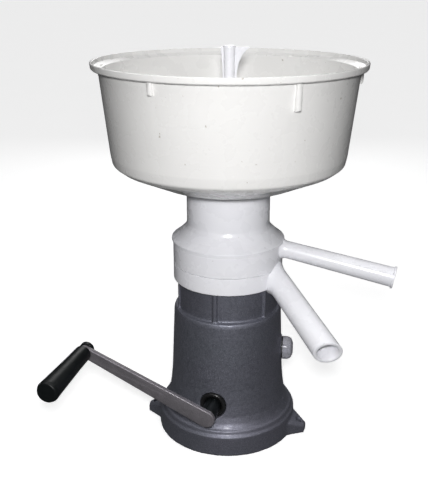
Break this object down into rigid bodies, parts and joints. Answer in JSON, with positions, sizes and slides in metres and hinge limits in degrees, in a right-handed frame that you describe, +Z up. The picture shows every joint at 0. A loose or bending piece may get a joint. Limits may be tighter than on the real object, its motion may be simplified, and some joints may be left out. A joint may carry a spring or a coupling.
{
  "type": "cream separator",
  "caption": "Hand-cranked centrifugal cream separator: a round plastic milk bowl and two spouted receivers stacked on an enamelled gear housing with a side crank.",
  "frame": {"origin": "centre of the foot on the table, on the vertical spindle axis", "axes": "+Z up along the spindle and the stack; -Y to the front, where the crank is; +X to the right, towards the cream spout"},
  "size_m": [0.329, 0.321, 0.433],
  "materials": {
    "housing_enamel": "dark grey violet hammered enamel on cast aluminium",
    "arm_enamel": "dark grey enamel on steel bar",
    "black_grip_plastic": "black satin moulded plastic",
    "black_seal_rubber": "black oiled rubber",
    "plug_plastic": "grey translucent moulded plastic",
    "dark_rubber": "dark grey rubber",
    "cover_steel": "zinc plated sheet steel",
    "screw_steel": "zinc plated steel",
    "shaft_steel": "ground steel",
    "bearing_bronze": "bronze",
    "drum_alloy": "turned aluminium alloy",
    "disc_steel": "thin spun stainless steel",
    "brass_screw": "brass",
    "receiver_plastic": "cool white glossy moulded plastic",
    "bowl_plastic": "warm white glossy moulded plastic"
  },
  "bodies": {
    "base": {"drive_housing": "housing_enamel", "bottom_cover": "cover_steel", "bottom_gasket": "dark_rubber", "cover_screw_1": "screw_steel", "cover_screw_2": "screw_steel", "cover_screw_3": "screw_steel", "crank_seal": "black_seal_rubber", "crank_bushing": "bearing_bronze", "oil_filler_plug": "plug_plastic", "oil_plug_washer": "dark_rubber", "idler_bush_front": "bearing_bronze", "idler_bush_rear": "bearing_bronze", "lower_bearing": "shaft_steel", "upper_bearing": "shaft_steel", "bearing_damper_ring": "dark_rubber", "bearing_cover": "drum_alloy", "bearing_cover_screw_1": "screw_steel", "bearing_cover_screw_2": "screw_steel", "bearing_cover_screw_3": "screw_steel"},
    "crank": {"crank_shaft": "shaft_steel", "crank_hub": "black_grip_plastic", "crank_arm": "arm_enamel", "hub_cross_pin": "screw_steel", "drive_gear": "shaft_steel", "drive_gear_bolt": "screw_steel", "grip_pin": "black_grip_plastic"},
    "grip": {"crank_grip": "black_grip_plastic"},
    "idler": {"pinion_shaft": "shaft_steel", "worm_wheel": "bearing_bronze"},
    "spindle": {"spindle": "shaft_steel", "drum_base": "drum_alloy", "drum_seal_ring": "dark_rubber", "disc_holder": "bowl_plastic", "drum_disc_1": "disc_steel", "drum_disc_2": "disc_steel", "drum_disc_3": "disc_steel", "drum_disc_4": "disc_steel", "drum_disc_5": "disc_steel", "drum_disc_6": "disc_steel", "separating_disc": "disc_steel", "drum_cap": "drum_alloy", "drum_nut": "drum_alloy", "cream_screw": "brass_screw"},
    "skim_receiver": {"skim_receiver": "receiver_plastic", "skim_spout": "receiver_plastic"},
    "cream_receiver": {"cream_receiver": "receiver_plastic", "cream_spout": "receiver_plastic"},
    "float_chamber": {"float_chamber": "receiver_plastic"},
    "float": {"milk_float": "bowl_plastic"},
    "bowl": {"milk_bowl": "bowl_plastic"},
    "tap": {"tap_plug": "receiver_plastic"}
  },
  "joints": [
    {"name": "crank_turn", "type": "hinge", "parent": "base", "child": "crank", "pos_m": [0, 0, 0.0544], "axis": [0, -1, 0], "continuous": true},
    {"name": "grip_turn", "type": "hinge", "parent": "crank", "child": "grip", "pos_m": [-0.1366, -0.09, 0.11637], "axis": [0, -1, 0], "continuous": true},
    {"name": "idler_turn", "type": "hinge", "parent": "base", "child": "idler", "pos_m": [-0.0314, 0, 0.09331], "axis": [0, -1, 0], "continuous": true},
    {"name": "spindle_turn", "type": "hinge", "parent": "base", "child": "spindle", "pos_m": [0, 0, 0.1], "axis": [0, 0, 1], "continuous": true},
    {"name": "skim_receiver_lift", "type": "slide", "parent": "base", "child": "skim_receiver", "axis": [0, 0, 1], "range_m": [0, 0.06]},
    {"name": "cream_receiver_lift", "type": "slide", "parent": "skim_receiver", "child": "cream_receiver", "axis": [0, 0, 1], "range_m": [0, 0.04]},
    {"name": "float_chamber_lift", "type": "slide", "parent": "cream_receiver", "child": "float_chamber", "axis": [0, 0, 1], "range_m": [0, 0.04]},
    {"name": "float_rise", "type": "slide", "parent": "float_chamber", "child": "float", "axis": [0, 0, 1], "range_m": [0, 0.013]},
    {"name": "bowl_lift", "type": "slide", "parent": "float_chamber", "child": "bowl", "axis": [0, 0, 1], "range_m": [0, 0.05]},
    {"name": "tap_turn", "type": "hinge", "parent": "bowl", "child": "tap", "pos_m": [0, 0, 0.3], "axis": [0, 0, 1], "range_deg": [0, 90]}
  ],
  "couplings": [
    {"joint": "idler_turn", "follows": "crank_turn", "ratio": -9},
    {"joint": "spindle_turn", "follows": "crank_turn", "ratio": 144}
  ]
}
